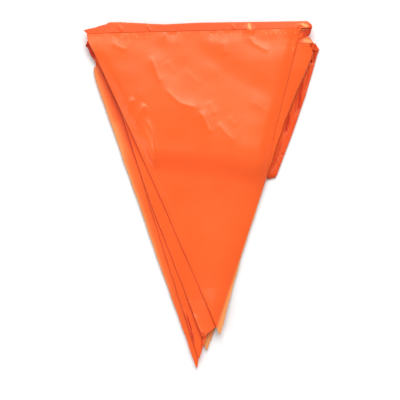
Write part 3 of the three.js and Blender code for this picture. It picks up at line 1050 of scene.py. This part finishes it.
# painted shade: a little over all the free end, and deep red in the flutes' hollows
painted_shade = TAIL_PAINTED_SHADE * on_tail * np.ones((rows, around))
for flute in FLUTES:
    mark = stroke(place_x, place_y, flute["line"], flute["width"])
    flutes = np.maximum(flutes, mark)
    painted_shade = np.maximum(painted_shade, on_tail * flute["painted_shade"] * mark)
painted_highlight = np.zeros((rows, around))
for patch in PAINTED_HIGHLIGHTS:
    mark = stroke(place_x, place_y, patch["line"], patch["width"])
    painted_highlight = np.maximum(painted_highlight, patch["painted_highlight"] * mark)
gather = ripples("gather", 0, place_x * GATHERS["across"] + place_y, place_y * GATHERS["along"])
surface[..., 2] += on_tail * TAIL_LIFT + past_turn * (gather - FLUTE_DEPTH * flutes)
on_top = (stretch_number < BULGE["before"])[:, None]
middle_share = 4 * section[:, 0] * (1 - section[:, 0])
at_end = smooth((place_x - BULGE["x"]) / BULGE["x_over"])
surface[..., 0] += on_top * END_BULGE * middle_share[None, :] * at_end
print("flutes:", len(FLUTES), "lowest point of the tape:", round(float(surface[..., 2].min()), 2))

# %% Mesh of the tape
LEFT_FOLD = {"after": 0.9, "before": 2.5}  # stretch numbers of the runs that meet in that corner
LEFT_CORNER = {"x": -101.0, "x_over": 5.0, "y": 147.5, "y_over": 2.0}
tape_faces = grid_faces(rows, around)
number = np.arange(rows * around).reshape(rows, around)
closing = np.stack([number[:-1, -1], number[1:, -1], number[1:, 0], number[:-1, 0]], axis=-1)
half = around // 2
caps = []
for row, way in ((0, 1), (-1, -1)):
    outer_ids, inner_ids = number[row, :half], number[row, ::-1][:half]
    cap = np.stack([outer_ids[:-1], outer_ids[1:], inner_ids[1:], inner_ids[:-1]], axis=-1)
    caps.append(cap[:, ::way])
plan = np.stack(np.broadcast_arrays(tape_along[:, None], section[:, 0][None, :] * TAPE_WIDTH), axis=-1)
# painted highlights: there the tape counts as fewer layers thick, so it turns pale
backing_and_highlight = FULL_COVER * (1 - painted_highlight)
# painted shade inside the left-hand corner where two runs of tape meet
at_left_fold = (stretch_number > LEFT_FOLD["after"]) & (stretch_number < LEFT_FOLD["before"])
in_corner = smooth((LEFT_CORNER["x"] - place_x) / LEFT_CORNER["x_over"])
in_corner = in_corner * smooth((LEFT_CORNER["y"] - place_y) / LEFT_CORNER["y_over"])
painted_shade = np.maximum(painted_shade, at_left_fold[:, None] * in_corner)
tape = make_mesh(
    "tape",
    surface.reshape(-1, 3),
    np.concatenate([tape_faces, closing]),
    np.concatenate(caps),
    plan.reshape(-1, 2),
    {"backing_and_highlight": backing_and_highlight, "painted_shade": painted_shade, "below_seam": np.full((rows, around), FAR_BELOW)},
)
print("tape:", len(tape.data.polygons), "faces")

# %% [markdown]
# ## Finishes
# The film is slightly see-through: where only white lies behind, it turns yellow, and over more
# layers it turns a deep orange red. The number of layers behind comes with the mesh, so an
# opaque material can show it, and that survives an export. One group makes that colour.

# %% Colour helper
def tone(red, green, blue):
    """Screen values from 0 to 255 as the linear colour that a shader takes."""
    share = np.array([red, green, blue]) / 255
    linear = np.where(share <= 0.04045, share / 12.92, ((share + 0.055) / 1.055) ** 2.4)
    return (*linear.tolist(), 1.0)


def new_group(name, takes, gives):
    """A shader node group with named inputs, each with its default, and named outputs."""
    group = bpy.data.node_groups.new(name, "ShaderNodeTree")
    for title, (kind, value) in takes.items():
        socket = group.interface.new_socket(title, in_out="INPUT", socket_type=kind)
        if value is not None:
            socket.default_value = value
    for title, kind in gives.items():
        group.interface.new_socket(title, in_out="OUTPUT", socket_type=kind)
    return group, group.nodes.new("NodeGroupInput"), group.nodes.new("NodeGroupOutput")


def add(tree, kind, values=None, **settings):
    """A node of the given kind with its settings and socket values; a socket value is joined."""
    node = tree.nodes.new(kind)
    for title, value in settings.items():
        setattr(node, title, value)
    for title, value in (values or {}).items():
        if isinstance(value, bpy.types.NodeSocket):
            tree.links.new(value, node.inputs[title])
        else:
            node.inputs[title].default_value = value
    return node


def spread(tree, value, old, new, **settings):
    """A value in the old range laid over the new range by Map Range; gives its result socket."""
    values = {"Value": value, "From Min": old[0], "From Max": old[1], "To Min": new[0], "To Max": new[1]}
    return add(tree, "ShaderNodeMapRange", values, **settings).outputs["Result"]


def mix_colours(tree, share, first, second):
    """The first colour turning into the second by a share; gives the socket of the mixed colour."""
    return add(tree, "ShaderNodeMix", {0: share, 6: first, 7: second}, data_type="RGBA").outputs[2]


FLOAT, COLOUR, VECTOR = "NodeSocketFloat", "NodeSocketColor", "NodeSocketVector"
print("middle grey on the screen is", round(tone(128, 128, 128)[0], 3), "to a shader")

# %% Group: colour of layered film
layered, takes, gives = new_group(
    "layered film colour",
    {
        "Backing And Highlight": (FLOAT, FULL_COVER),
        "Painted Shade": (FLOAT, 0.0),
        "Place": (VECTOR, None),
        # on the tape this single-layer colour is also the colour of the painted highlights
        "Single": (COLOUR, tone(236, 152, 90)),
        "Many": (COLOUR, tone(250, 92, 22)),
        "Painted Shade Colour": (COLOUR, tone(186, 26, 16)),
    },
    {"Colour": COLOUR},
)
layers_and_highlight = takes.outputs["Backing And Highlight"]
cover = spread(layered, layers_and_highlight, (0, FULL_COVER), (0, 1), interpolation_type="SMOOTHERSTEP")
by_layers = mix_colours(layered, cover, takes.outputs["Single"], takes.outputs["Many"])
cloud_look = {"Vector": takes.outputs["Place"], "Scale": 14.0, "Detail": 3.0, "Roughness": 0.45}
cloud = add(layered, "ShaderNodeTexNoise", cloud_look)
brightness = spread(layered, cloud.outputs["Fac"], (0.35, 0.65), (0.94, 1.04))
clouded = add(layered, "ShaderNodeVectorMath", {0: by_layers, 3: brightness}, operation="SCALE")
# mix in the painted shade as a deep red
with_painted_shade = mix_colours(layered, takes.outputs["Painted Shade"], clouded.outputs["Vector"], takes.outputs["Painted Shade Colour"])
layered.links.new(with_painted_shade, gives.inputs["Colour"])
print("group:", layered.name)

# %% [markdown]
# ## Row of weld marks
# The film is joined to the tape by small heat marks in a row, a few millimetres below the tape.
# They are tiny and uneven, and their pale colour is a painted highlight, the glint each small bump
# would catch. The mesh knows how far each place is below its own tape, so a group can draw a small
# round spot at each pitch along X, and fade some of the spots away.

# %% Group: row of weld marks
MARK_PITCH = 0.0047  # metres from mark to mark
MARK_RADIUS = 0.0007
MARKS_BELOW = 4.0  # millimetres below the tape

weld_row, takes, gives = new_group(
    "row of weld marks",
    {"Place": (VECTOR, None), "Below Seam": (FLOAT, FAR_BELOW)},
    {"Mask": FLOAT},
)


def weld_math(operation, first, second=0.0):
    """One sum in the group of the weld marks; gives the socket of its result."""
    return add(weld_row, "ShaderNodeMath", {0: first, 1: second}, operation=operation).outputs[0]


along = add(weld_row, "ShaderNodeSeparateXYZ", {"Vector": takes.outputs["Place"]}).outputs["X"]
pitches = weld_math("DIVIDE", along, MARK_PITCH)
nearest = weld_math("ROUND", pitches)
across_mark = weld_math("MULTIPLY", weld_math("SUBTRACT", pitches, nearest), MARK_PITCH)
down_mark = weld_math("MULTIPLY", weld_math("SUBTRACT", takes.outputs["Below Seam"], MARKS_BELOW), MM)
offset = add(weld_row, "ShaderNodeCombineXYZ", {"X": across_mark, "Y": down_mark}).outputs["Vector"]
away = add(weld_row, "ShaderNodeVectorMath", {0: offset}, operation="LENGTH").outputs["Value"]
spot = spread(weld_row, away, (MARK_RADIUS, 0), (0, 1), interpolation_type="SMOOTHSTEP")
strength = add(weld_row, "ShaderNodeTexWhiteNoise", {"W": nearest}, noise_dimensions="1D").outputs["Value"]
weld_row.links.new(weld_math("MULTIPLY", spot, strength), gives.inputs["Mask"])
print("weld marks:", round(0.2 / MARK_PITCH), "along a pennant")

# %% [markdown]
# ## Skin of the film
# Film is glossy, but handling leaves it a little duller in patches, and it has wrinkles finer
# than the mesh can carry. Both come from noise on the place, as a roughness and a slight bump.

# %% Group: skin of film
skin, takes, gives = new_group(
    "film skin",
    {"Place": (VECTOR, None), "Wrinkle": (FLOAT, 0.25)},
    {"Roughness": FLOAT, "Normal": VECTOR},
)
place = takes.outputs["Place"]
patches = add(skin, "ShaderNodeTexNoise", {"Vector": place, "Scale": 30.0, "Detail": 4.0})
rough = spread(skin, patches.outputs["Fac"], (0.3, 0.7), (0.22, 0.32))
fine = {"Vector": place, "Scale": 120.0, "Detail": 3.0, "Distortion": 0.6}
wrinkles = add(skin, "ShaderNodeTexNoise", fine).outputs["Fac"]
raised = {"Height": wrinkles, "Strength": takes.outputs["Wrinkle"], "Distance": 0.0004}
bump = add(skin, "ShaderNodeBump", raised)
skin.links.new(rough, gives.inputs["Roughness"])
skin.links.new(bump.outputs["Normal"], gives.inputs["Normal"])
print("group:", skin.name)


# %% Film and tape materials
def film_material(name, many, wrinkle, gleam):
    """Layered colour and film skin on one shader, with its fixed gloss set on the sockets."""
    material = bpy.data.materials.new(name)
    material.use_nodes = True
    tree = material.node_tree
    shader = tree.nodes["Principled BSDF"]
    place = add(tree, "ShaderNodeTexCoord").outputs["Object"]
    backing_and_highlight = add(tree, "ShaderNodeAttribute", attribute_name="backing_and_highlight").outputs["Fac"]
    painted_shade = add(tree, "ShaderNodeAttribute", attribute_name="painted_shade").outputs["Fac"]
    colour = add(tree, "ShaderNodeGroup", node_tree=layered)
    for title, value in {"Backing And Highlight": backing_and_highlight, "Painted Shade": painted_shade, "Place": place}.items():
        tree.links.new(value, colour.inputs[title])
    colour.inputs["Many"].default_value = many
    surface = add(tree, "ShaderNodeGroup", node_tree=skin)
    tree.links.new(place, surface.inputs["Place"])
    surface.inputs["Wrinkle"].default_value = wrinkle
    below = add(tree, "ShaderNodeAttribute", attribute_name="below_seam").outputs["Fac"]
    row = add(tree, "ShaderNodeGroup", node_tree=weld_row)
    tree.links.new(place, row.inputs["Place"])
    tree.links.new(below, row.inputs["Below Seam"])
    # the marks are drawn in a pale highlight colour: painted glints on the small weld bumps
    with_painted_glints = mix_colours(tree, row.outputs["Mask"], colour.outputs["Colour"], tone(255, 190, 140))
    tree.links.new(with_painted_glints, shader.inputs["Base Color"])
    tree.links.new(surface.outputs["Roughness"], shader.inputs["Roughness"])
    tree.links.new(surface.outputs["Normal"], shader.inputs["Normal"])
    shader.inputs["IOR"].default_value = 1.5
    shader.inputs["Specular Tint"].default_value = gleam
    return material


film_finish = film_material("film", tone(250, 94, 34), 0.09, (1.0, 0.85, 0.62, 1.0))
# the tape is the same film, but its base is set darker: painted shade that tones down the brighter gloss
# on its folded section
tape_finish = film_material("tape", tone(230, 76, 28), 0.12, (1.0, 0.72, 0.42, 1.0))
for film in films:
    film.data.materials.append(film_finish)
tape.data.materials.append(tape_finish)
print("materials:", film_finish.name, tape_finish.name)

# %% [markdown]
# ## Tie the pieces to the imported model
# Each sheet stands for its plain solid, which is hidden, and rides with the whole part.

for k, film in enumerate(films):
    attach(film, "root")
    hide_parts(f"pennant_{k + 1}")
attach(tape, "root")
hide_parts("heading_tape")
